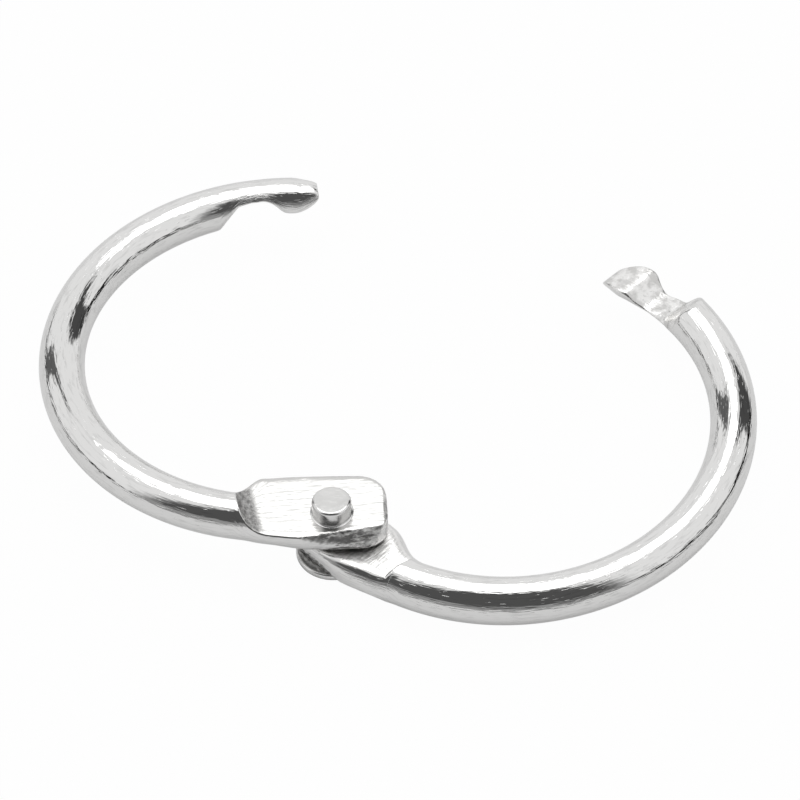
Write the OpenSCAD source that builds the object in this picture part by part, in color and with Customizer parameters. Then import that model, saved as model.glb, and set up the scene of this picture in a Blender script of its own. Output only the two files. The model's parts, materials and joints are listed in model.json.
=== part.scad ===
// Hinged loose-leaf ring: two pressed wire half rings turning on one rivet, shown swung open.

/* [Ring] */
// Clear width inside the wire's curve
inside_d = 26; // [16:0.5:60]
// Diameter of the wire
wire_d = 3; // [2:0.1:5]
// Swing from closed of the lower half ring
open_angle = 54; // [0:1:130]

/* [Hinge lug] */
// Thickness of the flattened wire end
lug_t = 1.6; // [1:0.05:2.4]
// Width that the wire end is pressed out to
lug_w = 5; // [3.6:0.1:9]
// Offset of the lug's middle towards the inside of the ring
lug_shift = 0.45; // [0:0.05:0.8]
// Distance from the end of the wire's curve to the rivet
lug_reach = 2.6; // [1.8:0.1:5]
// Distance from the pressed ramp to the rivet
ramp_reach = 5.6; // [4.8:0.1:10]
// Distance from the rivet to the free end of the lug
lug_end = 3.5; // [2.4:0.1:6]
// Corner radius at the free end of the lug
lug_corner_r = 1.7; // [0.5:0.1:2.4]
// Corner radius where the lug spreads from the wire
lug_root_r = 1.2; // [0.4:0.1:2]
// Depth of the mating face below the middle of the wire
mating_drop = 1.2; // [0.4:0.05:1.4]
// Radius of the pressed ramp on the outer face
ramp_r = 1.4; // [0.8:0.05:2.5]
// Gap between the two lugs
lug_gap = 0.24; // [0.04:0.01:0.4]
// Skew of the ramp and of the mating face's step across the lug
press_skew = 10; // [0:1:15]

/* [Rivet] */
// Shank diameter
shank_d = 2.5; // [1.4:0.1:3.4]
// Radial running clearance in the lower lug
shank_clear = 0.05; // [0.02:0.01:0.1]
// Height of the plain end above the upper lug
tail_h = 1.2; // [0.3:0.05:2.5]
// Bevel on the plain end
tail_bevel = 0.2; // [0.05:0.05:0.4]
// Head diameter
head_d = 4.8; // [3.4:0.1:7]
// Height of the straight rim of the head
head_rim_h = 0.4; // [0.1:0.05:1]
// Height of the dome of the head
dome_h = 0.85; // [0.3:0.05:1.6]
// Play between the head and the lower lug
head_play = 0.08; // [0.02:0.01:0.3]

/* [Clasp] */
// Angle from straight across the ring to the middle of the clasp
clasp_past = 9.5; // [4:0.5:14]
// Distance from the middle of the clasp to the tip
tip_reach = 3.3; // [2.6:0.1:4]
// Clearance between a tip and the shoulder that it meets
tip_clear = 0.12; // [0.05:0.01:0.3]
// Length of the slanted shoulder
shoulder_run = 0.9; // [0.3:0.05:1.5]
// Distance from the middle of the clasp to the crest and to the notch
crest_reach = 0.9; // [0.6:0.05:1.4]
// Clearance of the crest from the middle plane
crest_clear = 0.06; // [0.03:0.01:0.15]
// Rounding radius of the crest
crest_r = 0.8; // [0.4:0.05:1.2]
// Depth of the notch behind the crest
notch_h = 0.95; // [0.3:0.05:1.1]
// Rise of the lead-in from the crest to the tip
lead_h = 1; // [0.1:0.05:1.2]
// Length that the outer side of the tip slants back
nose_run = 0.8; // [0.2:0.05:1.2]

/* [Hidden] */
$fn = 96;
ring_r = inside_d / 2 + wire_d / 2;
root_lead = atan(lug_reach / ring_r);
pin_reach = ring_r / cos(root_lead);
mid_x = ring_r * sin(clasp_past);
mid_y = pin_reach + ring_r * cos(clasp_past);
mid_reach = sqrt(mid_x * mid_x + mid_y * mid_y);
close_turn = atan2(mid_x, mid_y);
centre_x = -pin_reach * sin(close_turn);
centre_y = pin_reach * cos(close_turn);
wire_rise = mating_drop + lug_gap / 2;
cant = asin(wire_rise / mid_reach);
lug_low = lug_gap / 2;
lug_top = lug_low + lug_t;
lug_dir = close_turn - root_lead;
ramp_foot = ramp_reach - ramp_r * 0.65;
lug_start = ramp_reach - ramp_r * 0.35;
shoulder_reach = ramp_reach - 0.5;
arc_start = 90 + close_turn - clasp_past - tip_reach / ring_r * 57.3 - 4;
arc_end = 270 + close_turn - root_lead;
shoulder_x = tip_reach + tip_clear;
notch_r = (4 * crest_reach * crest_reach + pow(crest_r + crest_clear - notch_h, 2) - crest_r * crest_r)
        / (2 * (notch_h - crest_clear));
notch_z = notch_h - notch_r;
crest_z = crest_clear + crest_r;
bank_x = -crest_reach - 0.76 * (shoulder_x - crest_reach);
touch = notch_r / (notch_r + crest_r);
touch_x = -crest_reach + touch * 2 * crest_reach;
touch_z = notch_z + touch * (crest_z - notch_z);
tip_z = crest_clear + lead_h;
lead_far = sqrt(pow(tip_reach - crest_reach, 2) + pow(tip_z - crest_z, 2));
lead_slope = atan2(tip_z - crest_z, tip_reach - crest_reach) + asin(0.95 * crest_r / lead_far);
lead_x = crest_reach + 0.95 * crest_r * sin(lead_slope);
lead_z = crest_z - 0.95 * crest_r * cos(lead_slope);
far = 4 * wire_d;
lug_spare = lug_t / 8;
neck_lap = wire_d / 6;
neck_ease = wire_d / 75;
notch_lap = crest_r / 40;
head_top = -lug_top - head_play;
head_ball_r = (head_d * head_d / 4 + dome_h * dome_h) / (2 * dome_h);

// Region taken off below the tongue, drawn across the wire: x along the clasp, y up
module hook_cut_shape() {
  difference() {
    union() {
      polygon([
        [-shoulder_x - shoulder_run, -wire_d * 0.6],
        [-shoulder_x, -crest_clear],
        [crest_reach, crest_clear],
        [lead_x, lead_z],
        [tip_reach, tip_z],
        [tip_reach - nose_run, wire_d / 2],
        [tip_reach - nose_run, wire_d],
        [tip_reach + far, wire_d],
        [tip_reach + far, -far],
        [-shoulder_x - shoulder_run, -far]
      ]);
      polygon([
        [-shoulder_x, -crest_clear],
        [bank_x, notch_h * 0.8],
        [-crest_reach, notch_h],
        [-crest_reach, -crest_clear]
      ]);
      translate([-crest_reach, notch_z]) circle(r = notch_r + notch_lap);
      polygon([[-crest_reach, notch_z], [touch_x, touch_z], [crest_reach, crest_clear], [crest_reach, -wire_d]]);
    }
    translate([crest_reach, crest_z]) circle(r = crest_r);
  }
}

// Cut for the clasp, at the middle of the clasp
module hook_cut() {
  translate([0, mid_reach + far / 2, 0])
    rotate([90, 0, 0])
      linear_extrude(height = far)
        intersection() {
          hook_cut_shape();
          translate([-shoulder_x - shoulder_run - 1, -wire_d]) square([2 * shoulder_x + far, 2.5 * wire_d]);
        }
}

// Wire at full section: the curve and the straight neck that runs into the lug
module wire_body() {
  translate([0, mid_reach, 0])
    rotate([-cant, 0, 0])
      translate([0, -mid_reach, 0]) {
        translate([centre_x, centre_y, 0])
          rotate([0, 0, arc_start])
            rotate_extrude(angle = arc_end - arc_start)
              translate([ring_r, 0]) circle(d = wire_d);
        rotate([0, 0, lug_dir])
          translate([-lug_reach - neck_lap, 0, 0])
            rotate([0, 90, 0]) cylinder(d = wire_d - neck_ease, h = lug_reach + neck_lap);
      }
}

// Outline of the pressed lug, with the rivet at the origin and the wire at minus x
module lug_outline() {
  union() {
    translate([-lug_start, -lug_w / 2 + lug_root_r])
      square([lug_start + lug_end, lug_w - lug_root_r - max(lug_root_r, lug_corner_r)]);
    translate([-lug_start + lug_root_r, -lug_w / 2]) square([lug_start + lug_end - lug_root_r - lug_corner_r, lug_w]);
    translate([-lug_start, -lug_w / 2 + lug_corner_r])
      square([lug_start + lug_end, lug_w - 2 * lug_corner_r]);
    for (side = [-1, 1]) {
      translate([-lug_start + lug_root_r, side * (lug_w / 2 - lug_root_r)]) circle(r = lug_root_r);
      translate([lug_end - lug_corner_r, side * (lug_w / 2 - lug_corner_r)]) circle(r = lug_corner_r);
    }
  }
}

// Pressed ramp and flat on the outer face, and the stepped flat on the mating face
module lug_cuts() {
  rotate([0, 0, lug_dir]) {
    translate([-ramp_foot, 0, lug_top])
      rotate([0, 0, press_skew]) {
        translate([0, -lug_w, 0]) cube([ramp_foot + lug_end + lug_w, 2.2 * lug_w, wire_d]);
        translate([0, 1.2 * lug_w, ramp_r]) rotate([90, 0, 0]) cylinder(r = ramp_r, h = 2.2 * lug_w);
      }
    translate([-shoulder_reach, 0, lug_low - wire_d])
      rotate([0, 0, press_skew])
        translate([0, -lug_w, 0]) cube([shoulder_reach + lug_end + lug_w, 2.2 * lug_w, wire_d]);
  }
}

// One half ring in the closed ring's place, with the rivet at the origin
module half_ring(hole_d) {
  difference() {
    union() {
      wire_body();
      rotate([0, 0, lug_dir])
        translate([0, lug_shift, lug_low - lug_spare])
          linear_extrude(height = lug_t + 2 * lug_spare) lug_outline();
    }
    lug_cuts();
    hook_cut();
    translate([0, 0, -wire_d]) cylinder(d = hole_d, h = 3 * wire_d);
  }
}

module upper_half_ring() {
  color([0.80, 0.79, 0.77])
    translate([0, -centre_y, 0]) half_ring(shank_d);
}

module lower_half_ring() {
  color([0.77, 0.77, 0.75])
    translate([0, -centre_y, 0])
      rotate([0, 0, -open_angle])
        rotate([0, 180, 0]) half_ring(shank_d + 2 * shank_clear);
}

// Half section of the rivet: x out from the axis, y up
module rivet_section() {
  union() {
    polygon([
      [0, head_top - head_rim_h],
      [shank_d / 2, head_top - head_rim_h],
      [shank_d / 2, lug_top + tail_h - tail_bevel],
      [shank_d / 2 - tail_bevel, lug_top + tail_h],
      [0, lug_top + tail_h]
    ]);
    intersection() {
      translate([0, head_top - head_rim_h - dome_h + head_ball_r]) circle(r = head_ball_r);
      translate([0, head_top - head_rim_h - 2 * dome_h]) square([head_d / 2, head_rim_h + 2 * dome_h]);
    }
  }
}

module hinge_rivet() {
  color([0.72, 0.72, 0.71])
    translate([0, -centre_y, 0]) rotate_extrude() rivet_section();
}

upper_half_ring();
lower_half_ring();
hinge_rivet();
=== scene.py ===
"""Looks of a hinged loose-leaf ring: plated wire half rings, their rivet, and a pale studio stage."""

import json
import math

import bpy
import numpy as np
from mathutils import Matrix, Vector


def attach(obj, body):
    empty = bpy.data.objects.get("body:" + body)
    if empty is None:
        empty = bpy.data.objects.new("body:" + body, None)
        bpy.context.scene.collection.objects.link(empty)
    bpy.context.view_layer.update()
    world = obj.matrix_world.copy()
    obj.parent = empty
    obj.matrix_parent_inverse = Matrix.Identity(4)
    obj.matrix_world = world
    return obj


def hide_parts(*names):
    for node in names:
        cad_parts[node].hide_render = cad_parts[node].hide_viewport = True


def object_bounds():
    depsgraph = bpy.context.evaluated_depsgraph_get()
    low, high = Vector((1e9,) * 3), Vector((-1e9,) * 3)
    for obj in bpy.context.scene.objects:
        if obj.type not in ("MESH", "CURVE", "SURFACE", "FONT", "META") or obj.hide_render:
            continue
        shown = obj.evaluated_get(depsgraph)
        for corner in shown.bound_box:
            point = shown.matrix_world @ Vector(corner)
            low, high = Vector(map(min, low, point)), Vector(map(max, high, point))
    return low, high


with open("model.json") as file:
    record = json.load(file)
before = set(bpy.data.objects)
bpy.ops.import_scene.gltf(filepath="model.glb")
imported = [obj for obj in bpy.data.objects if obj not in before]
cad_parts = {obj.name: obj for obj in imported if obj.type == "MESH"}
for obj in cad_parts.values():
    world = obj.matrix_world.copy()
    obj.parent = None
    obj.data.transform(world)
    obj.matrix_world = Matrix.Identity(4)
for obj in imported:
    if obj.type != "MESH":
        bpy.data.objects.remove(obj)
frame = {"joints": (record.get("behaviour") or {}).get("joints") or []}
CAD_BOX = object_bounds()
HINGE = frame["joints"][0]

bl_info = {
    "name": "Hinged Loose-Leaf Ring",
    "version": (1, 0, 0),
    "blender": (4, 5, 0),
    "location": "3D View > Sidebar > Ring",
    "description": "Builds the plated half rings, the hinge rivet and a pale stage",
    "category": "Object",
}

MM = 0.001

# Points round a section of the wire, and round the rivet
WIRE_AROUND = 128
RIVET_AROUND = 96

# Samples over the height of a section, and how many have to be inside for the section to count
PROBES = 341
FEWEST_INSIDE = 4

# Steps that halve the interval in which a ray meets the skin
HALVINGS = 34

# Least half height of a section and least distance along a ray, in millimetres
LEAST_TALL = 0.1
LEAST_RAY = 0.02

# Distance in millimetres that a face reports where it doesn't cut the half ring
OUT_OF_PLAY = -9.0

# Distance in millimetres over which a face's mark fades from its edge
MARK_FADE = 0.06


def length(label, words, default):
    """A length property, given in millimetres and kept in metres."""
    return bpy.props.FloatProperty(
        name=label, description=words, default=default * MM, min=0.0, unit="LENGTH", precision=5
    )


def angle(label, words, default):
    """An angle property, given in degrees and kept in radians."""
    return bpy.props.FloatProperty(
        name=label, description=words, default=math.radians(default), subtype="ANGLE"
    )


def share(label, words, default):
    """A property from 0 to 1."""
    return bpy.props.FloatProperty(
        name=label, description=words, default=default, min=0.0, max=1.0, subtype="FACTOR"
    )


def tint(label, words, default):
    """A colour property without alpha."""
    return bpy.props.FloatVectorProperty(
        name=label, description=words, default=default, size=3, min=0.0, max=1.0, subtype="COLOR"
    )


class RingSizes(bpy.types.PropertyGroup):
    """Sizes of the wire, the lug and the clasp."""

    inside_d: length("Inside", "Clear width inside the wire's curve", 26.0)
    wire_d: length("Wire", "Diameter of the wire", 3.0)
    lug_t: length("Lug thickness", "Thickness of the flattened wire end", 1.6)
    lug_w: length("Lug width", "Width that the wire end is pressed out to", 5.0)
    lug_shift: length("Lug offset", "Offset of the lug's middle towards the inside of the ring", 0.45)
    lug_reach: length("Lug reach", "Distance from the end of the wire's curve to the rivet", 2.6)
    ramp_reach: length("Ramp reach", "Distance from the pressed ramp to the rivet", 5.6)
    lug_end: length("Lug end", "Distance from the rivet to the lug's free end", 3.5)
    lug_corner_r: length("Lug corner", "Corner radius at the lug's free end", 1.7)
    mating_drop: length("Mating drop", "Depth of the mating face below the wire's middle", 1.2)
    ramp_r: length("Ramp radius", "Radius of the pressed ramp on the outer face", 1.4)
    lug_gap: length("Lug gap", "Gap between the two lugs", 0.24)
    press_skew: angle("Press skew", "Skew of the ramp and of the mating face's step across the lug", 10.0)
    clasp_past: angle("Clasp angle", "Angle from straight across the ring to the clasp's middle", 9.5)
    tip_reach: length("Tip reach", "Distance from the clasp's middle to the tip", 3.3)
    shoulder_reach: length("Shoulder reach", "Distance from the clasp's middle to the shoulder", 3.42)
    shoulder_run: length("Shoulder run", "Length of the slanted shoulder", 0.9)
    crest_reach: length("Crest reach", "Distance from the clasp's middle to crest and notch", 0.9)
    crest_r: length("Crest radius", "Rounding of the crest", 0.8)
    crest_clear: length("Crest clearance", "Clearance of the crest from the middle plane", 0.06)
    notch_h: length("Notch depth", "Depth of the notch behind the crest", 0.95)
    lead_h: length("Lead-in", "Rise of the lead-in from the crest to the tip", 1.0)
    nose_run: length("Nose run", "Length that the outer side of the tip slants back", 0.8)


class RingTrim(bpy.types.PropertyGroup):
    """What pressing and shearing leave on a half ring."""

    edge_r: length("Edge rounding", "Rounding of the pressed edges", 0.3)
    end_r: length("End rounding", "Rounding of the lug's end face", 0.3)
    flare: length("Upper flare", "Length over which the upper lug spreads from the wire", 1.9)
    lower_flare: length("Lower flare", "Length over which the lower lug spreads from the wire", 3.4)
    outer_flare: length("Outer flare", "Length over which a lug's outer side spreads from the wire", 4.25)
    cut_bevel: length("Cut bevel", "Bevel along the inner edge of the clasp's cut", 0.55)
    shear_in: length("Shear offset", "Distance from the rivet to the sheared side", 1.92)
    tear_h: length("Tear height", "Height of the waves on the sheared side", 0.05)
    lug_taper: share("Lug taper", "Narrowing of the upper lug over its length", 0.06)
    tongue_taper: share("Tongue taper", "Share of its width that the tongue loses at the tip", 0.34)
    shear_lean: share("Shear lean", "Lean of the sheared side over the lug's length", 0.13)
    shear_slope: share("Shear slope", "Lean of the sheared side over the lug's thickness", 0.4)


class RivetSizes(bpy.types.PropertyGroup):
    """Sizes of the hinge rivet."""

    shank_d: length("Shank", "Shank diameter", 2.5)
    tail_h: length("Plain end", "Height of the plain end above the upper lug", 1.2)
    tail_edge: length("Plain end edge", "Rounding of the plain end", 0.2)
    tail_slope: share("Plain end slope", "Slope of the plain end's face", 0.06)
    foot_r: length("Foot fillet", "Fillet where the plain end leaves the lug", 0.12)
    head_d: length("Head", "Head diameter", 4.8)
    head_rim_h: length("Head rim", "Height of the head's straight rim", 0.4)
    rim_r: length("Head rim edge", "Rounding of the head's rim", 0.15)
    dome_h: length("Head dome", "Height of the head's dome", 0.85)
    head_play: length("Head play", "Play between the head and the lower lug", 0.08)


class RingFinish(bpy.types.PropertyGroup):
    """Colours, gloss and grain of the plating and of the cut faces."""

    plate: tint("Plating", "Colour of the bright plating", (0.80, 0.797, 0.79))
    plate_dull: tint("Dull plating", "Colour along the drawing marks", (0.66, 0.658, 0.652))
    cut_steel: tint("Cut steel", "Colour of cut and milled faces", (0.66, 0.655, 0.645))
    cut_bright: tint("Bright cut", "Colour of the smeared patches on cut faces", (0.90, 0.895, 0.885))
    # Dark of the pits and torn faces, and also the dark of the painted shade on the pressed ramp
    torn_steel: tint("Torn steel", "Colour in the pits of sheared faces", (0.20, 0.198, 0.195))
    gloss: share("Gloss roughness", "Roughness of the bright plating", 0.02)
    pressed_rough: share("Pressed roughness", "Roughness of the pressed flat", 0.22)
    cut_rough: share("Cut roughness", "Roughness of the clasp's cut and of the mating face", 0.26)
    torn_rough: share("Torn roughness", "Roughness of the sheared side and of the ramp", 0.38)
    draw_h: length("Drawing marks", "Height of the marks that run along the wire", 0.018)
    fine_h: length("Fine drawing marks", "Height of the finer marks along the wire", 0.011)
    nick_h: length("Nicks", "Height of the few nicks in the plating", 0.007)
    scuff_h: length("Scuffs", "Height of the scuffs on the pressed flat", 0.02)
    brush_h: length("Brushing", "Height of the brushing on the mating face", 0.05)
    blotch_h: length("Smears", "Height of the smears on the clasp's cut", 0.1)
    speckle_h: length("Ramp grain", "Height of the grain on the ramp", 0.06)
    torn_h: length("Torn grain", "Height of the grain on the sheared side", 0.15)
    turned_h: length("Turned grain", "Height of the turned grain on the rivet", 0.04)
    end_h: length("End grain", "Height of the grain on the rivet's sheared end", 0.08)


class StageLook(bpy.types.PropertyGroup):
    """Floor, lamp, room and camera."""

    floor: tint("Floor", "Colour of the floor", (0.84, 0.84, 0.84))
    floor_white: share("White floor", "Share of plain white in the floor as the camera sees it", 0.975)
    floor_seen: share("Mirrored floor", "Share of plain white in the floor as the metal mirrors it", 0.25)
    lamp_w: length("Lamp width", "Width of the soft box overhead", 660.0)
    lamp_d: length("Lamp depth", "Depth of the soft box overhead", 580.0)
    lamp_power: bpy.props.FloatProperty(
        name="Lamp power", description="Power of the soft box", default=1.32, min=0.0, unit="POWER"
    )
    room: share("Room", "Brightness of the room's sides and back", 0.9)
    wall: share("Front wall", "Brightness of the wall behind the camera", 0.09)
    low_zone: share("Low zone", "Brightness of the front wall's foot", 0.32)
    horizon: share("Horizon", "Share of light that the dark line at the horizon keeps", 0.02)
    lens: bpy.props.FloatProperty(
        name="Lens", description="Focal length of the camera", default=180.0, min=1.0, unit="CAMERA"
    )
    camera_at: bpy.props.FloatVectorProperty(
        name="Camera place",
        description="Where the camera stands",
        default=(-0.015693, -0.173341, 0.196436),
        size=3,
        subtype="TRANSLATION",
        unit="LENGTH",
    )
    camera_turn: bpy.props.FloatVectorProperty(
        name="Camera turn",
        description="How the camera is turned",
        default=tuple(math.radians(degrees) for degrees in (40.8556, 1.0892, -8.5202)),
        size=3,
        subtype="EULER",
        unit="ROTATION",
    )


def values_of(group):
    """A property group's values by name, with its lengths in millimetres."""
    kinds = group.bl_rna.properties
    return {
        key: getattr(group, key) / (MM if kinds[key].unit == "LENGTH" else 1.0)
        for key in type(group).__annotations__
    }


def layout(scene):
    """Plan of one half ring in millimetres, in the closed ring's place with the rivet at the origin.

    The straight lug is tangent to the wire's circle, so the rivet lies at radius ring_r / cos(lead). The half
    is turned about the rivet until the middle of its clasp lies on +Y, and its plane is canted so that the
    wire falls from rise at the rivet to zero there.
    """
    plan = values_of(scene.ring_sizes) | values_of(scene.ring_trim)
    plan["wire_r"] = plan["wire_d"] / 2
    plan["ring_r"] = plan["inside_d"] / 2 + plan["wire_r"]
    lead = math.atan(plan["lug_reach"] / plan["ring_r"])
    pin_reach = plan["ring_r"] / math.cos(lead)
    past = plan["clasp_past"]
    mid = (plan["ring_r"] * math.sin(past), pin_reach + plan["ring_r"] * math.cos(past))
    turn = math.atan2(*mid)
    plan["mid_reach"] = math.hypot(*mid)
    plan["centre"] = np.array([-pin_reach * math.sin(turn), pin_reach * math.cos(turn)])
    plan["lug_dir"] = turn - lead
    plan["arc_root"] = 1.5 * math.pi + turn - lead
    plan["arc_tip"] = math.acos((plan["tip_reach"] - plan["centre"][0]) / plan["ring_r"])
    plan["low"] = plan["lug_gap"] / 2
    plan["top"] = plan["low"] + plan["lug_t"]
    plan["rise"] = plan["mating_drop"] + plan["low"]
    plan["ramp_foot"] = plan["ramp_reach"] - 0.65 * plan["ramp_r"] - 0.25
    plan["step"] = plan["ramp_reach"] - 0.5
    plan["tip_z"] = plan["crest_clear"] + plan["lead_h"]
    return plan


def smooth_max(a, b, band):
    """The larger of a and b, with the corner between them rounded over a band."""
    near = np.maximum(band - np.abs(a - b), 0.0) / band
    return np.maximum(a, b) + near * near * band / 4


def ease(low, high, x):
    """Smooth step from 0 at low to 1 at high."""
    t = np.clip((x - low) / (high - low), 0.0, 1.0)
    return t * t * (3 - 2 * t)


def hook_line(plan, x):
    """Lower edge of the tongue and its slope, as a height over x across the closed clasp.

    A slanted shoulder, a shallow bank up to the notch, the notch arc that touches a crest arc, then a lead-in
    arc that leaves the crest level and ends at the tip; the sampled line is averaged over a short window,
    which rounds its corners as pressing does.
    """
    reach, clear, deep, crest_r = plan["crest_reach"], plan["crest_clear"], plan["notch_h"], plan["crest_r"]
    tip_x, tip_z = plan["tip_reach"], plan["tip_z"]
    bank_x, bank_z = -reach - 0.6 * (plan["shoulder_reach"] - reach), 0.75 * deep
    foot_x, foot_z = -plan["shoulder_reach"] - plan["shoulder_run"], -0.6 * plan["wire_d"]
    below_x, below_z = foot_x - 0.6, -3.2
    notch_r = (4 * reach**2 + (crest_r + clear - deep) ** 2 - crest_r**2) / (2 * (deep - clear))
    touch_x = -reach + notch_r / (notch_r + crest_r) * 2 * reach
    lead_r = ((tip_x - reach) ** 2 + (tip_z - clear) ** 2) / (2 * (tip_z - clear))
    start, stop, spacing = -8.0, 5.0, 0.005
    grid = np.linspace(start, stop, round((stop - start) / spacing) + 1)
    base = np.interp(
        grid,
        [start, below_x, foot_x, bank_x, -reach, reach],
        [OUT_OF_PLAY, below_z, foot_z, bank_z, deep, clear],
    )
    bowl = np.maximum(notch_r**2 - (grid + reach) ** 2, 0.0)
    notch = np.where(bowl > 0, deep - notch_r + np.sqrt(bowl), OUT_OF_PLAY)
    crest = clear + crest_r - np.sqrt(np.maximum(crest_r**2 - (grid - reach) ** 2, 0.0))
    lead = clear + lead_r - np.sqrt(np.maximum(lead_r**2 - (grid - reach) ** 2, 0.01))
    line = np.where(grid < touch_x, np.maximum(base, notch), np.where(grid < reach, crest, lead))
    window = np.hanning(121)
    padded = np.pad(line, window.size // 2, mode="edge")
    line = np.convolve(padded, window / window.sum(), mode="valid")
    return np.interp(x, grid, line), np.interp(x, grid, np.gradient(line, grid))


def wire_skin(plan, x, y, z, u, v, curve, near_lug):
    """The drawn wire, and the bulged pad that it is pressed out to at the lug.

    The section is level^power + upright^power = 1 about the wire's circle, or about the lug's straight line
    beyond the root. level is the distance across over the half width, and upright the height over the wire's
    radius. The half width grows on each side to the lug's, shrinks towards the tongue's tip, and closes along
    a quarter circle at the lug's free end. The power rises from 2, a circle, to 5 on the lug.
    """
    wire_r, corner = plan["wire_r"], plan["lug_corner_r"]
    root, tip = -plan["ramp_reach"], plan["tip_reach"]
    bend_from, bend_to = root - 0.2, root + 1.8
    outer_from, inner_from = root - 0.25, root - 0.5
    square_from, square_to = root + 1.2, 1.5
    narrow_from, narrow_to = tip - 2.1, tip - 0.2
    round_power, square_power = 2, 5
    rise = plan["rise"] * (1 - y / plan["mid_reach"])
    across = curve + (-v - curve) * ease(bend_from, bend_to, u) * near_lug
    outer = plan["lug_w"] / 2 - plan["lug_shift"] - wire_r
    outer = outer * ease(outer_from, outer_from + plan["outer_flare"], u)
    inner = plan["lug_w"] / 2 + plan["lug_shift"] - wire_r - plan["taper"] * u
    inner = inner * ease(inner_from, inner_from + plan["flare"], u)
    half = wire_r + np.where(across > 0, outer, inner) * near_lug
    narrow = 1 - plan["tongue_taper"] * ease(narrow_from, narrow_to, x)
    half = half * np.where(near_lug, 1.0, narrow)
    past = np.clip(u - (plan["lug_end"] - corner), 0.0, corner) * near_lug
    half = half - (corner - np.sqrt(np.maximum(corner**2 - past**2, 0.0)))
    power = round_power + (square_power - round_power) * ease(square_from, square_to, u) * near_lug
    level = np.abs(across) / half
    upright = np.abs(z - rise) / wire_r
    return ((level**power + upright**power) ** (1 / power) - 1) * wire_r


def pressed_faces(plan, z, u, v, near_lug):
    """The outer face's flat and ramp, the run up the ramp, and the mating face with its step.

    All are square to a direction that is skewed from the lug's. The flat is level, and at the ramp it rises
    along a quarter circle, where the height is scaled down to come near a distance. The mating face is level
    and ends at an upright step.
    """
    cosine, sine = math.cos(plan["press_skew"]), math.sin(plan["press_skew"])
    ramp_r, flat_from = plan["ramp_r"], -plan["ramp_reach"] - 1.8
    steepest, ramp_scale, step_scale = 0.999 * ramp_r, 0.55, 0.9
    skewed = u * cosine + v * sine
    run = np.clip(-(skewed + plan["ramp_foot"] * cosine), 0.0, steepest)
    top = plan["top"] + ramp_r - np.sqrt(ramp_r**2 - run**2)
    flat = np.where(near_lug & (u > flat_from), z - top, OUT_OF_PLAY)
    flat = flat * (1 - ramp_scale * ease(0.0, ramp_r, run))
    stepped = step_scale * (skewed + plan["step"] * cosine)
    step = np.where(near_lug, np.minimum(plan["low"] - z, stepped), OUT_OF_PLAY)
    return flat, run, step


def clasp_faces(plan, x, z, curve, near_lug):
    """The clasp's cut, the bevel along its inner edge, and the nose.

    The cut is the height below the hook's line, divided by the length of that line's normal. The bevel lies
    at 45 degrees to the cut and to the wire's inner side, and fades out before the crest. The nose is an
    elliptical quarter in x and height, which ends just before the tip.
    """
    wire_r = plan["wire_r"]
    fade_from, fade_to, thinnest = -1.7, -0.5, 0.01
    line, slope = hook_line(plan, x)
    hook = np.where(near_lug, OUT_OF_PLAY, (line - z) / np.sqrt(1 + slope**2))
    width = plan["cut_bevel"] * (1 - ease(fade_from, fade_to, x))
    bevel = (hook - curve - wire_r + width) / math.sqrt(2)
    bevel = np.where(near_lug | (width < thinnest), OUT_OF_PLAY, bevel)
    lip, short, fall = 0.04, 0.3, 0.4
    drop, run = wire_r - plan["tip_z"] - lip, 1.4 * plan["nose_run"]
    ahead = x - plan["tip_reach"] + short + run
    nose = np.hypot(np.maximum(ahead, 0) / run, np.maximum(z - wire_r + drop, 0) / drop) - 1
    nose = np.where(near_lug, OUT_OF_PLAY, nose * drop - fall * np.maximum(-ahead, 0))
    return hook, bevel, nose


def sheared_side(plan, z, u, v, near_lug):
    """The lug's torn outer side: a plane that leans in towards the free end and the top.

    Crossed sine waves roughen it, and grow low down beside the free end.
    """
    sheared_from, burr = -4.0, 2.4
    waves = np.sin(7.9 * u + 4.1 * z) * np.sin(6.3 * z - 2.9 * u + 1.0)
    waves = waves + 0.6 * np.sin(15.0 * u - 11.0 * z)
    waves = waves * (1 + burr * ease(0.9, 0.3, z) * ease(0.2, 1.2, u))
    plane = -v + plan["shear_lean"] * u + plan["shear_slope"] * (z - plan["rise"])
    torn = plane + plan["tear_h"] * waves - plan["shear_in"]
    return np.where(near_lug & (u > sheared_from), torn, OUT_OF_PLAY)


def inside_of(plan, x, y, z):
    """Signed distance, about, to the half ring's skin: negative inside. Also the faces and the ramp's run.

    u runs along the lug from the rivet to the free end, and v across it. The skin is the rounded maximum of
    the wire's own skin and of every face that pressing, cutting and shearing give it.
    """
    cosine, sine = math.cos(plan["lug_dir"]), math.sin(plan["lug_dir"])
    u, v = x * cosine + y * sine, y * cosine - x * sine
    near_lug = y < plan["mid_reach"] / 2
    curve = np.hypot(x - plan["centre"][0], y - plan["centre"][1]) - plan["ring_r"]
    flat, run, step = pressed_faces(plan, z, u, v, near_lug)
    hook, bevel, nose = clasp_faces(plan, x, z, curve, near_lug)
    sheared = sheared_side(plan, z, u, v, near_lug)
    skin = wire_skin(plan, x, y, z, u, v, curve, near_lug)
    for face, rounding in (
        (sheared, 0.4),
        (flat, 0.35),
        (step, 0.5),
        (nose, 0.8),
        (bevel, 0.5),
        (hook, 0.8),
    ):
        skin = smooth_max(skin, face, plan["edge_r"] * rounding)
    faces = {"flat": flat, "step": step, "hook": np.maximum(hook, bevel), "sheared": sheared}
    return skin, faces, run


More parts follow.
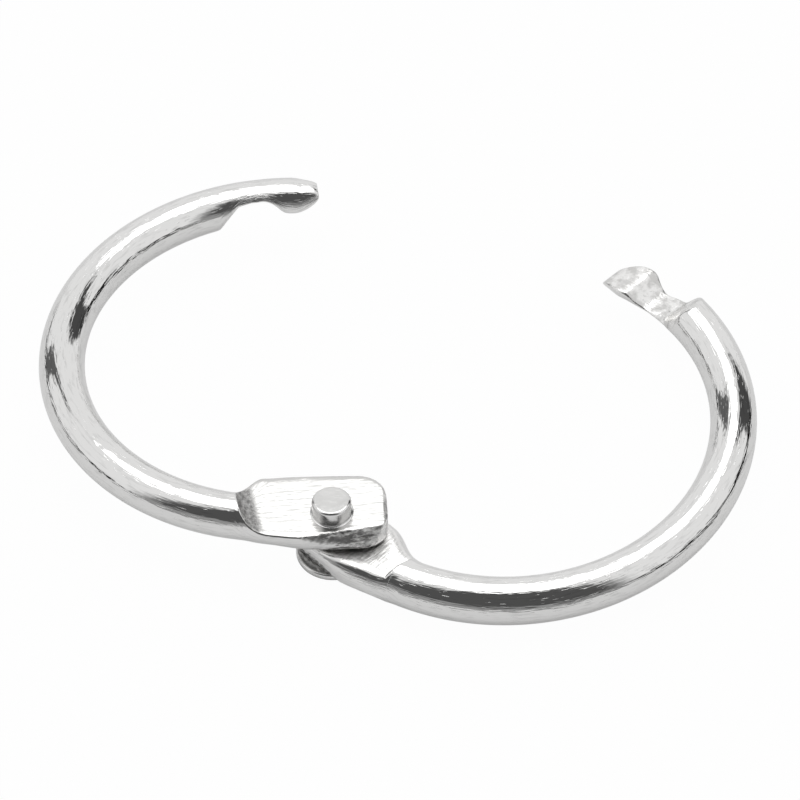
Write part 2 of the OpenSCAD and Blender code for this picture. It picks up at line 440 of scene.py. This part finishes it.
def stations(plan, root, whole):
    """Distances along the middle line from the lug's free end.

    They crowd along quarter circles at both ends, and at the ramp and the clasp.
    """
    ramp_from, ramp_to, clasp_from = root - 2.0, root + 1.4, whole - 8.5
    end_r, quarter = plan["end_r"], math.pi / 2
    runs = [
        end_r * (1 - np.cos(np.linspace(0.0, quarter, 9))),
        np.linspace(end_r, ramp_from, 60),
        np.linspace(ramp_from, ramp_to, 110),
        np.linspace(ramp_to, clasp_from, 150),
        np.linspace(clasp_from, whole - end_r, 150),
        whole - end_r * np.cos(np.linspace(0.0, quarter, 12)),
    ]
    return np.unique(np.concatenate(runs).round(6))


def middle_line(plan, s, lug, whole):
    """Points on the middle line at the distances s, and the level direction across the wire there.

    The line is straight along the lug and then follows the wire's circle. The direction points away from the
    circle's middle, and towards the tip it turns to +Y, across the tongue.
    """
    straight = s < lug
    along = plan["lug_end"] - s
    turn = np.where(straight, plan["arc_root"], plan["arc_root"] - (s - lug) / plan["ring_r"])
    arc_x = plan["centre"][0] + plan["ring_r"] * np.cos(turn)
    arc_y = plan["centre"][1] + plan["ring_r"] * np.sin(turn)
    px = np.where(straight, along * math.cos(plan["lug_dir"]), arc_x)
    py = np.where(straight, along * math.sin(plan["lug_dir"]), arc_y)
    square_from, square_to = whole - 9.0, whole - 3.5
    turn = turn + (math.pi / 2 - turn) * ease(square_from, square_to, s) * ~straight
    return px, py, np.cos(turn), np.sin(turn)


def half_ring_surface(scene, flare, taper):
    """Skin of one half ring on a grid: stations along the wire by rays round each station.

    A station is a point on the wire's middle line with two axes, level across the wire and up. Each ray
    leaves that point at an angle scaled to the section's width and height, and is cut at the skin by halving
    an interval. The first stations draw in along a quarter circle, which rounds the lug's end face. The lug
    spreads from the wire over the length flare, and its inner side closes in by taper for each unit towards
    the free end.
    """
    plan = layout(scene)
    plan["flare"], plan["taper"] = flare / MM, taper
    wire_r, end_r = plan["wire_r"], plan["end_r"]
    lug = plan["lug_end"] + plan["lug_reach"]
    root = plan["lug_end"] + plan["ramp_reach"]
    whole = lug + plan["ring_r"] * (plan["arc_root"] - plan["arc_tip"])
    s = stations(plan, root, whole)
    px, py, nx, ny = middle_line(plan, s, lug, whole)
    rise = plan["rise"] * (1 - py / plan["mid_reach"])
    up = np.linspace(-wire_r - 0.2, wire_r + 0.2, PROBES)
    probe = inside_of(plan, px[:, None] + 0 * up, py[:, None] + 0 * up, rise[:, None] + up)[0] < 0
    solid = probe.sum(1) >= FEWEST_INSIDE
    s, px, py, nx, ny, rise, probe = (values[solid] for values in (s, px, py, nx, ny, rise, probe))
    first = probe.argmax(1)
    low = up[first]
    high = up[np.minimum(first + probe.sum(1) - 1, up.size - 1)]
    mid = rise + (low + high) / 2
    tall = np.maximum((high - low) / 2, LEAST_TALL)
    wide = wire_r + (plan["lug_w"] / 2 - wire_r) * (1 - ease(root - 1.7, root + 0.25, s))
    phi = 2 * math.pi * np.arange(WIRE_AROUND) / WIRE_AROUND
    level = wide[:, None] * np.cos(phi)
    upright = tall[:, None] * np.sin(phi)
    size = np.hypot(level, upright)
    level, upright = level / size, upright / size

    def on_ray(t):
        """Points at the distances t along the rays."""
        x = px[:, None] + t * level * nx[:, None]
        y = py[:, None] + t * level * ny[:, None]
        return x, y, mid[:, None] + t * upright

    near = np.zeros_like(level)
    far = np.full_like(level, plan["lug_w"])
    for _ in range(HALVINGS):
        t = (near + far) / 2
        inside = inside_of(plan, *on_ray(t))[0] < 0
        near = np.where(inside, t, near)
        far = np.where(inside, far, t)
    inset = np.where(s < end_r, end_r - np.sqrt(np.maximum(end_r**2 - (end_r - s) ** 2, 0.0)), 0.0)
    x, y, z = on_ray(np.maximum(near - inset[:, None], LEAST_RAY))
    _, faces, run = inside_of(plan, x, y, z)
    on = {key: np.exp(-((np.minimum(value, 0) / MARK_FADE) ** 2)) for key, value in faces.items()}
    marks = {
        "pressed_face": on["flat"],
        "ramp_face": on["flat"] * ease(-0.1, 0.9, run) * (run > 0),
        "mating_face": on["step"],
        "cut_face": on["hook"],
        "sheared_face": np.maximum(on["sheared"], 1 - ease(0.05, end_r, s)[:, None]),
    }
    caps = np.array([[px[0], py[0], mid[0]], [px[-1], py[-1], mid[-1]]])
    drawn = np.stack([np.cos(phi) + 0 * z, np.sin(phi) + 0 * z, s[:, None] / 10 + 0 * z], -1)
    return np.stack([x, y, z], -1), caps, marks, drawn


def lathe(profile, turns):
    """Surface of revolution about Z: the (radius, height) profile carried round a full circle."""
    phi = 2 * math.pi * np.arange(turns) / turns
    r, z = profile[:, 0, None], profile[:, 1, None]
    return np.stack([r * np.cos(phi), r * np.sin(phi), z + 0 * phi], -1)


def straight_run(start, end, count):
    """Evenly spaced points of a profile from start to end."""
    return np.linspace(np.array(start), np.array(end), count)


def grid_faces(rows, cols):
    """Quads of a grid that closes round its columns, and a fan at each end to two extra points."""
    row = np.arange(rows - 1)[:, None] * cols
    here = np.arange(cols)[None, :]
    after = (here + 1) % cols
    quads = np.stack([row + here, row + after, row + cols + after, row + cols + here], -1).reshape(-1, 4)
    here, after = here.ravel(), after.ravel()
    last = (rows - 1) * cols
    start = np.stack([0 * here + rows * cols, after, here], -1)
    end = np.stack([0 * here + rows * cols + 1, last + here, last + after], -1)
    return quads, np.concatenate([start, end])


def closed_mesh(name, grid, caps):
    """A closed mesh from a grid of points in metres and two end points, with its faces turned outwards."""
    rows, cols, _ = grid.shape
    points = np.concatenate([grid.reshape(-1, 3), caps])
    quads, fans = grid_faces(rows, cols)
    corners = points[np.concatenate([quads[:, [0, 1, 2]], quads[:, [0, 2, 3]], fans])]
    volume = np.einsum("ij,ij->i", corners[:, 0], np.cross(corners[:, 1], corners[:, 2])).sum()
    if not abs(volume) > 0:
        raise RuntimeError(f"{name}: the surface doesn't enclose a volume")
    if volume < 0:
        quads, fans = quads[:, ::-1], fans[:, ::-1]
    mesh = bpy.data.meshes.new(name)
    mesh.from_pydata(points.tolist(), [], quads.tolist() + fans.tolist())
    if mesh.validate():
        raise RuntimeError(f"{name}: the mesh has broken faces")
    mesh.shade_smooth()
    obj = bpy.data.objects.new(name, mesh)
    bpy.context.scene.collection.objects.link(obj)
    return obj


def point_values(obj, name, values):
    """Stores one number or one vector at each point of a mesh."""
    vector = values.ndim == 2
    layer = obj.data.attributes.new(name, "FLOAT_VECTOR" if vector else "FLOAT", "POINT")
    layer.data.foreach_set("vector" if vector else "value", values.astype(np.float32).ravel())


class Nodes:
    """A small hand for laying out the nodes of a material or of the world."""

    def __init__(self, tree):
        self.tree = tree

    def add(self, kind, **values):
        """A new node; keywords set its properties."""
        node = self.tree.nodes.new(kind)
        for key, value in values.items():
            setattr(node, key, value)
        return node

    def link(self, a, b):
        """Joins an output socket to an input socket."""
        self.tree.links.new(a, b)

    def put(self, value, socket):
        """Gives a socket a number, or links another socket to it."""
        if isinstance(value, (int, float)):
            socket.default_value = value
        else:
            self.link(value, socket)

    def attribute(self, name, vector=False):
        """A value stored at the mesh's points."""
        node = self.add("ShaderNodeAttribute", attribute_name=name)
        return node.outputs["Vector" if vector else "Fac"]

    def scaled(self, source, scale):
        """source times a vector."""
        node = self.add("ShaderNodeVectorMath", operation="MULTIPLY")
        self.link(source, node.inputs[0])
        node.inputs[1].default_value = scale
        return node.outputs[0]

    def unit(self, source):
        """source brought to length 1."""
        node = self.add("ShaderNodeVectorMath", operation="NORMALIZE")
        self.link(source, node.inputs[0])
        return node.outputs[0]

    def along(self, source, direction):
        """How far source runs along a direction."""
        node = self.add("ShaderNodeVectorMath", operation="DOT_PRODUCT")
        self.link(source, node.inputs[0])
        node.inputs[1].default_value = direction
        return node.outputs["Value"]

    def noise(self, source, scale, detail, rough):
        """Noise texture over source."""
        node = self.add("ShaderNodeTexNoise")
        self.link(source, node.inputs["Vector"])
        node.inputs["Scale"].default_value = scale
        node.inputs["Detail"].default_value = detail
        node.inputs["Roughness"].default_value = rough
        return node.outputs["Fac"]

    def ramp(self, source, low, high, to_low=0.0, to_high=1.0, curve="LINEAR"):
        """Maps source from low..high to to_low..to_high, clamped."""
        node = self.add("ShaderNodeMapRange", interpolation_type=curve)
        self.link(source, node.inputs["Value"])
        for key, value in zip(("From Min", "From Max", "To Min", "To Max"), (low, high, to_low, to_high)):
            node.inputs[key].default_value = value
        return node.outputs["Result"]

    def step(self, source, low, high, to_low, to_high):
        """Maps source as ramp does, along a smooth step."""
        return self.ramp(source, low, high, to_low, to_high, "SMOOTHSTEP")

    def math(self, operation, *values):
        """One arithmetic step on sockets or numbers."""
        node = self.add("ShaderNodeMath", operation=operation)
        for socket, value in zip(node.inputs, values):
            self.put(value, socket)
        return node.outputs[0]

    def mix(self, factor, a, b):
        """Colour between a and b; each is a socket or a colour."""
        node = self.add("ShaderNodeMix", data_type="RGBA")
        self.link(factor, node.inputs["Factor"])
        for socket, value in zip((node.inputs[6], node.inputs[7]), (a, b)):
            if isinstance(value, bpy.types.NodeSocket):
                self.link(value, socket)
            else:
                socket.default_value = (*value, 1.0)
        return node.outputs[2]

    def bump(self, height, strength, distance, normal=None):
        """Bump from a height socket; strength is a socket or a number."""
        node = self.add("ShaderNodeBump")
        self.link(height, node.inputs["Height"])
        self.put(strength, node.inputs["Strength"])
        node.inputs["Distance"].default_value = distance
        if normal is not None:
            self.link(normal, node.inputs["Normal"])
        return node.outputs["Normal"]


def new_metal(name):
    """A new metal material, its nodes and its shader."""
    mat = bpy.data.materials.new(name)
    mat.use_nodes = True
    shader = mat.node_tree.nodes["Principled BSDF"]
    shader.inputs["Metallic"].default_value = 1.0
    return mat, Nodes(mat.node_tree), shader


def plated_wire(finish):
    """Bright plating over drawn wire, with duller pressed, milled, cut and torn faces.

    drawn holds the cosine and sine of the angle round the wire and the distance along it, so its noises
    follow the wire. plan holds the place on the closed half ring in millimetres. The other attributes say how
    much of each face shows at a point.
    """
    mat, nodes, shader = new_metal("plated_wire")
    coords = nodes.add("ShaderNodeTexCoord").outputs["Object"]
    drawn = nodes.attribute("drawn", vector=True)
    plan = nodes.attribute("plan", vector=True)
    pressed = nodes.attribute("pressed_face")
    ramp = nodes.attribute("ramp_face")
    mating = nodes.attribute("mating_face")
    cut = nodes.attribute("cut_face")
    sheared = nodes.attribute("sheared_face")
    plated, dull = finish.plate, finish.plate_dull
    # torn is the dark of the pits and torn faces, and also of the painted shade on the ramp
    steel, bright, torn = finish.cut_steel, finish.cut_bright, finish.torn_steel

    # Grain of the wire and of each face
    streak = nodes.noise(nodes.scaled(drawn, (9.0, 9.0, 10.0)), scale=1.0, detail=1.5, rough=0.5)
    fine = nodes.noise(nodes.scaled(drawn, (17.0, 17.0, 4.0)), scale=1.0, detail=1.5, rough=0.5)
    nick = nodes.noise(nodes.scaled(drawn, (13.0, 13.0, 7.0)), scale=1.7, detail=1.0, rough=0.5)
    cloud = nodes.noise(coords, scale=420.0, detail=3.0, rough=0.5)
    scuff = nodes.noise(nodes.scaled(plan, (0.9, 6.5, 2.0)), scale=1.0, detail=3.0, rough=0.6)
    brushed = nodes.noise(nodes.scaled(plan, (7.0, 1.0, 7.0)), scale=1.0, detail=4.0, rough=0.65)
    speckle = nodes.noise(plan, scale=3.6, detail=4.0, rough=0.7)
    blotch = nodes.noise(plan, scale=1.1, detail=4.0, rough=0.6)
    tear_and_shading = nodes.noise(nodes.scaled(plan, (1.3, 3.0, 4.5)), scale=1.0, detail=4.0, rough=0.7)
    place = nodes.add("ShaderNodeSeparateXYZ")
    nodes.link(plan, place.inputs[0])
    # Painted light and shade on the sheared side: lighter low down and towards the free end, darker near the
    # top
    tear_and_shading = nodes.math("ADD", tear_and_shading, nodes.ramp(place.outputs["Z"], 0.45, 0.95, 0.09, -0.05))
    tear_and_shading = nodes.math("ADD", tear_and_shading, nodes.ramp(place.outputs["X"], 0.4, 2.4, -0.02, 0.09))

    # Colour, with painted shade on the ramp and painted light and shade on the sheared side
    colour = nodes.mix(nodes.ramp(streak, 0.52, 0.78), plated, dull)
    colour = nodes.mix(pressed, colour, steel)
    scratch = nodes.math("MULTIPLY", pressed, nodes.ramp(scuff, 0.60, 0.72, 0.0, 0.18))
    colour = nodes.mix(scratch, colour, torn)
    smeared = nodes.mix(nodes.ramp(blotch, 0.42, 0.56), steel, bright)
    smeared = nodes.mix(nodes.ramp(speckle, 0.64, 0.70, 0.0, 0.7), smeared, torn)
    colour = nodes.mix(cut, colour, smeared)
    colour = nodes.mix(mating, colour, nodes.mix(nodes.ramp(brushed, 0.38, 0.60), steel, bright))
    # Painted shade: the pressed ramp is painted dark, speckled between the dark pit colour and the cut steel
    colour = nodes.mix(ramp, colour, nodes.mix(nodes.ramp(speckle, 0.36, 0.64), torn, steel))
    # Sheared side: torn grain, with painted light low down and painted shade near the top
    colour = nodes.mix(sheared, colour, nodes.mix(nodes.ramp(tear_and_shading, 0.42, 0.60), torn, bright))
    nodes.link(colour, shader.inputs["Base Color"])

    # Roughness
    rough = nodes.ramp(fine, 0.35, 0.75, finish.gloss, finish.gloss + 0.03)
    rough = nodes.math("ADD", rough, nodes.ramp(cloud, 0.4, 0.7, 0.0, 0.015))
    for face, face_rough in (
        (pressed, finish.pressed_rough),
        (nodes.math("MAXIMUM", cut, mating), finish.cut_rough),
        (nodes.math("MAXIMUM", sheared, ramp), finish.torn_rough),
    ):
        rough = nodes.math("MAXIMUM", rough, nodes.math("MULTIPLY", face, face_rough))
    nodes.link(rough, shader.inputs["Roughness"])

    # Relief
    drawing = 0.8
    normal = nodes.bump(streak, drawing, finish.draw_h)
    normal = nodes.bump(fine, drawing, finish.fine_h, normal)
    normal = nodes.bump(nodes.ramp(nick, 0.68, 0.76), drawing, finish.nick_h, normal)
    for grain, face, strength, height in (
        (scuff, pressed, 0.4, finish.scuff_h),
        (brushed, mating, 0.45, finish.brush_h),
        (blotch, cut, 0.6, finish.blotch_h),
        (speckle, ramp, 0.5, finish.speckle_h),
        (tear_and_shading, sheared, 0.7, finish.torn_h),
    ):
        normal = nodes.bump(grain, nodes.math("MULTIPLY", face, strength), height, normal)
    nodes.link(normal, shader.inputs["Normal"])
    return mat


def plated_rivet(finish):
    """Plated rivet: bright, with a fine turned grain and a dull sheared end."""
    mat, nodes, shader = new_metal("plated_rivet")
    coords = nodes.add("ShaderNodeTexCoord").outputs["Object"]
    end = nodes.attribute("sheared_end")
    cloud = nodes.noise(coords, scale=900.0, detail=4.0, rough=0.6)
    grain = nodes.noise(nodes.scaled(coords, (400.0, 400.0, 6000.0)), scale=1.0, detail=2.0, rough=0.5)
    colour = nodes.mix(nodes.ramp(cloud, 0.45, 0.75), finish.plate, finish.plate_dull)
    colour = nodes.mix(nodes.math("MULTIPLY", end, 0.5), colour, finish.cut_steel)
    nodes.link(colour, shader.inputs["Base Color"])
    rough = nodes.ramp(grain, 0.3, 0.7, 0.18, 0.26)
    rough = nodes.math("SUBTRACT", rough, nodes.math("MULTIPLY", end, 0.08))
    nodes.link(rough, shader.inputs["Roughness"])
    normal = nodes.bump(grain, 0.12, finish.turned_h)
    normal = nodes.bump(cloud, nodes.math("MULTIPLY", end, 0.3), finish.end_h, normal)
    nodes.link(normal, shader.inputs["Normal"])
    return mat


def pale_floor(look):
    """Matt floor that shows nearly white to the camera and partly white to the metal, with a soft shadow."""
    mat = bpy.data.materials.new("floor")
    mat.use_nodes = True
    nodes = Nodes(mat.node_tree)
    matt = nodes.tree.nodes["Principled BSDF"]
    matt.inputs["Base Color"].default_value = (*look.floor, 1.0)
    matt.inputs["Roughness"].default_value = 0.9
    matt.inputs["Specular IOR Level"].default_value = 0.1
    glow = nodes.add("ShaderNodeEmission")
    glow.inputs["Color"].default_value = (1.0, 1.0, 1.0, 1.0)
    path = nodes.add("ShaderNodeLightPath").outputs
    white = nodes.math("MULTIPLY", path["Is Camera Ray"], look.floor_white)
    for ray in ("Is Glossy Ray", "Is Transmission Ray"):
        white = nodes.math("ADD", white, nodes.math("MULTIPLY", path[ray], look.floor_seen))
    blend = nodes.add("ShaderNodeMixShader")
    nodes.link(white, blend.inputs[0])
    nodes.link(matt.outputs[0], blend.inputs[1])
    nodes.link(glow.outputs[0], blend.inputs[2])
    nodes.link(blend.outputs[0], nodes.tree.nodes["Material Output"].inputs["Surface"])
    return mat


class RING_OT_half_rings(bpy.types.Operator):
    """Builds the two half rings, the same piece turned over and swung open, over their CAD nodes"""

    bl_idname = "ring.half_rings"
    bl_label = "Half Rings"

    def execute(self, context):
        scene = context.scene
        sizes, trim = scene.ring_sizes, scene.ring_trim
        if not 0 < sizes.lug_t < sizes.wire_d:
            raise RuntimeError("The lug has to be thinner than the wire")
        material = plated_wire(scene.ring_finish)
        pin = np.array(HINGE["pos_m"])
        opened = math.radians(HINGE["range_deg"][0])
        cosine, sine = math.cos(opened), math.sin(opened)
        turned_over = np.array([[-1.0, 0, 0], [0, 1, 0], [0, 0, -1]])
        swing = np.array([[cosine, -sine, 0], [sine, cosine, 0], [0, 0, 1]])
        for name, place, flare, taper in (
            ("upper", np.eye(3), trim.flare, trim.lug_taper),
            ("lower", swing @ turned_over, trim.lower_flare, 0.0),
        ):
            grid, caps, marks, drawn = half_ring_surface(scene, flare, taper)
            obj = closed_mesh(f"{name}_wire", grid @ place.T * MM + pin, caps @ place.T * MM + pin)
            for key, value in marks.items():
                point_values(obj, key, np.concatenate([value.ravel(), np.zeros(len(caps))]))
            point_values(obj, "drawn", np.concatenate([drawn.reshape(-1, 3), drawn[[0, -1], 0]]))
            point_values(obj, "plan", np.concatenate([grid.reshape(-1, 3), caps]))
            obj.data.materials.append(material)
            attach(obj, f"{name}_half")
            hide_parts(f"{name}_half_ring")
        return {"FINISHED"}


class RING_OT_rivet(bpy.types.Operator):
    """Builds the hinge rivet with its plain end and domed head over its CAD node"""

    bl_idname = "ring.rivet"
    bl_label = "Hinge Rivet"

    def execute(self, context):
        scene = context.scene
        lug_top = layout(scene)["top"]
        sizes = values_of(scene.rivet_sizes)
        if not 2 * sizes["tail_edge"] < sizes["shank_d"] < sizes["head_d"]:
            raise RuntimeError("The shank has to be thinner than the head and wider than its edge")
        shank, slope, top = sizes["shank_d"] / 2, sizes["tail_slope"], lug_top + sizes["tail_h"]
        profile = self.profile(sizes, lug_top)
        grid = lathe(profile, RIVET_AROUND)
        grid[..., 2] -= ease(lug_top, top, grid[..., 2]) * slope * (grid[..., 1] + shank)
        bottom = -lug_top - sizes["head_play"] - sizes["head_rim_h"] - sizes["dome_h"]
        caps = np.array([[0, 0, top - slope * shank], [0, 0, bottom]])
        pin = np.array(HINGE["pos_m"])
        obj = closed_mesh("rivet_body", grid * MM + pin, caps * MM + pin)
        end = np.repeat(ease(top - 0.1, top, profile[:, 1]), RIVET_AROUND)
        point_values(obj, "sheared_end", np.concatenate([end, [1.0, 0.0]]))
        obj.data.materials.append(plated_rivet(scene.ring_finish))
        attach(obj, "upper_half")
        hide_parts("hinge_rivet")
        return {"FINISHED"}

    def profile(self, sizes, lug_top):
        """Half section from the plain end down to the dome, as radius and height in millimetres.

        The plain end with its rounded edge, the shank with a fillet where it leaves the lug, the head's rim
        with its rounded edge, and the dome, an arc of the ball through the rim and the dome's middle.
        """
        shank, edge, foot, rim = sizes["shank_d"] / 2, sizes["tail_edge"], sizes["foot_r"], sizes["rim_r"]
        top, under = lug_top + sizes["tail_h"], -lug_top - sizes["head_play"]
        head, dome = sizes["head_d"] / 2, sizes["dome_h"]
        ball = (head**2 + dome**2) / (2 * dome)
        ball_z = under - sizes["head_rim_h"] - dome + ball
        quarter = np.linspace(0, math.pi / 2, 7)
        out, up = np.sin(quarter), np.cos(quarter)
        sweep = np.linspace(math.asin(head / ball), 0.02, 26)
        return np.concatenate(
            [
                straight_run((0.05, top), (shank - edge - 0.02, top), 8),
                np.stack([shank - edge + edge * out, top - edge + edge * up], -1),
                straight_run((shank, top - edge - 0.05), (shank, lug_top + 0.2), 5),
                np.stack([shank + foot - foot * up, lug_top + foot - foot * out], -1),
                straight_run((shank, lug_top - 0.1), (shank, under + 0.06), 8),
                straight_run((shank + 0.02, under), (head - rim - 0.01, under), 8),
                np.stack([head - rim + rim * out, under - rim + rim * up], -1),
                np.stack([ball * np.sin(sweep), ball_z - ball * np.cos(sweep)], -1),
            ]
        )


class RING_OT_stage(bpy.types.Operator):
    """Lays the pale floor, the room, the soft lamp and the camera"""

    bl_idname = "ring.stage"
    bl_label = "Stage"

    def execute(self, context):
        scene = context.scene
        if not CAD_BOX[0][2] < CAD_BOX[1][2]:
            raise RuntimeError("The frame holds nothing to stand on the floor")
        scene.view_settings.view_transform = "Standard"
        self.floor(scene)
        self.room(scene)
        self.lamp(scene)
        self.camera(scene)
        return {"FINISHED"}

    def floor(self, scene):
        """A wide floor under the ring."""
        low, half = CAD_BOX[0][2], 3.0
        corners = [(-half, -half, low), (half, -half, low), (half, half, low), (-half, half, low)]
        mesh = bpy.data.meshes.new("floor")
        mesh.from_pydata(corners, [], [(0, 1, 2, 3)])
        mesh.materials.append(pale_floor(scene.stage_look))
        obj = bpy.data.objects.new("floor", mesh)
        scene.collection.objects.link(obj)

    def room(self, scene):
        """A pale room, as a brightness over the direction of view.

        Bright sides and back, a dark wall behind the camera with a grey foot, a thin dark line at the horizon
        except at the back, and two dark gaps. A gap is a strip along a great circle, given by the circle's
        normal and the strip's middle, with soft sides and soft ends. Edges are cosines of angles.
        """
        forward, up, line_up = (-0.30, -0.954, 0.0), (0.0, 0.0, 1.0), (-0.05, 0.0, 1.0)
        wall_edge, back_edge, line_edge = (0.50, 0.74), (-0.8, -0.6), (0.11, 0.15)
        foot_edge, foot_top = (0.45, 0.70), (0.24, 0.42)
        gaps = (
            ((0.332, -0.850, 0.409), (0.758, 0.498, 0.421), (0.10, 0.17), (0.87, 0.92), 0.08),
            ((0.622, 0.672, -0.403), (-0.531, 0.740, 0.413), (0.05, 0.09), (0.90, 0.95), 0.14),
        )
        look = scene.stage_look
        world = bpy.data.worlds.new("room")
        scene.world = world
        world.use_nodes = True
        nodes = Nodes(world.node_tree)
        toward = nodes.add("ShaderNodeTexCoord").outputs["Generated"]
        front = nodes.along(nodes.unit(nodes.scaled(toward, (1.0, 1.0, 0.0))), forward)
        bright = nodes.step(front, *wall_edge, look.room, look.wall)
        back = nodes.step(front, *back_edge, 1.0, 0.0)
        line = nodes.step(nodes.along(toward, line_up), *line_edge, look.horizon, 1.0)
        bright = nodes.math("MULTIPLY", bright, nodes.math("MAXIMUM", line, back))
        for normal, middle, sides, ends, keep in gaps:
            side = nodes.step(nodes.math("ABSOLUTE", nodes.along(toward, normal)), *sides, 0.0, 1.0)
            end = nodes.step(nodes.along(toward, middle), *ends, 1.0, 0.0)
            gap = nodes.step(nodes.math("MAXIMUM", side, end), 0.0, 1.0, keep, 1.0)
            bright = nodes.math("MULTIPLY", bright, gap)
        foot = nodes.step(nodes.along(toward, up), *foot_top, 1.0, 0.0)
        foot = nodes.math("MULTIPLY", nodes.step(front, *foot_edge, 0.0, look.low_zone), foot)
        sky = nodes.tree.nodes["Background"]
        sky.inputs["Color"].default_value = (1.0, 1.0, 1.0, 1.0)
        nodes.link(nodes.math("MAXIMUM", bright, foot), sky.inputs["Strength"])

    def lamp(self, scene):
        """One wide soft box overhead, a little behind the ring and turned towards it."""
        look = scene.stage_look
        behind, above = 0.28, 0.75
        data = bpy.data.lights.new("overhead", "AREA")
        data.shape = "ELLIPSE"
        data.size = look.lamp_w
        data.size_y = look.lamp_d
        data.energy = look.lamp_power
        obj = bpy.data.objects.new("overhead", data)
        obj.location = (0.0, behind, above)
        obj.rotation_euler = (math.atan2(-behind, above), 0.0, 0.0)
        scene.collection.objects.link(obj)

    def camera(self, scene):
        """A long lens from the front, above the ring."""
        look = scene.stage_look
        data = bpy.data.cameras.new("camera")
        data.lens = look.lens
        data.sensor_width = 36.0
        data.clip_start = 0.005
        obj = bpy.data.objects.new("camera", data)
        obj.location = look.camera_at
        obj.rotation_euler = look.camera_turn
        scene.collection.objects.link(obj)
        scene.camera = obj


GROUPS = {
    "ring_sizes": RingSizes,
    "ring_trim": RingTrim,
    "rivet_sizes": RivetSizes,
    "ring_finish": RingFinish,
    "stage_look": StageLook,
}
OPERATORS = (RING_OT_half_rings, RING_OT_rivet, RING_OT_stage)


class RING_PT_panel(bpy.types.Panel):
    """Sizes, finish, stage and build buttons"""

    bl_idname = "RING_PT_panel"
    bl_label = "Loose-Leaf Ring"
    bl_space_type = "VIEW_3D"
    bl_region_type = "UI"
    bl_category = "Ring"

    def draw(self, context):
        for name, kind in GROUPS.items():
            box = self.layout.box()
            for key in kind.__annotations__:
                box.prop(getattr(context.scene, name), key)
        for operator in OPERATORS:
            self.layout.operator(operator.bl_idname)


CLASSES = (*GROUPS.values(), *OPERATORS, RING_PT_panel)


def register():
    for kind in CLASSES:
        bpy.utils.register_class(kind)
    for name, kind in GROUPS.items():
        setattr(bpy.types.Scene, name, bpy.props.PointerProperty(type=kind))


def unregister():
    for name in GROUPS:
        delattr(bpy.types.Scene, name)
    for kind in reversed(CLASSES):
        bpy.utils.unregister_class(kind)


def main():
    register()
    bpy.ops.ring.half_rings()
    bpy.ops.ring.rivet()
    bpy.ops.ring.stage()


if __name__ == "__main__":
    main()
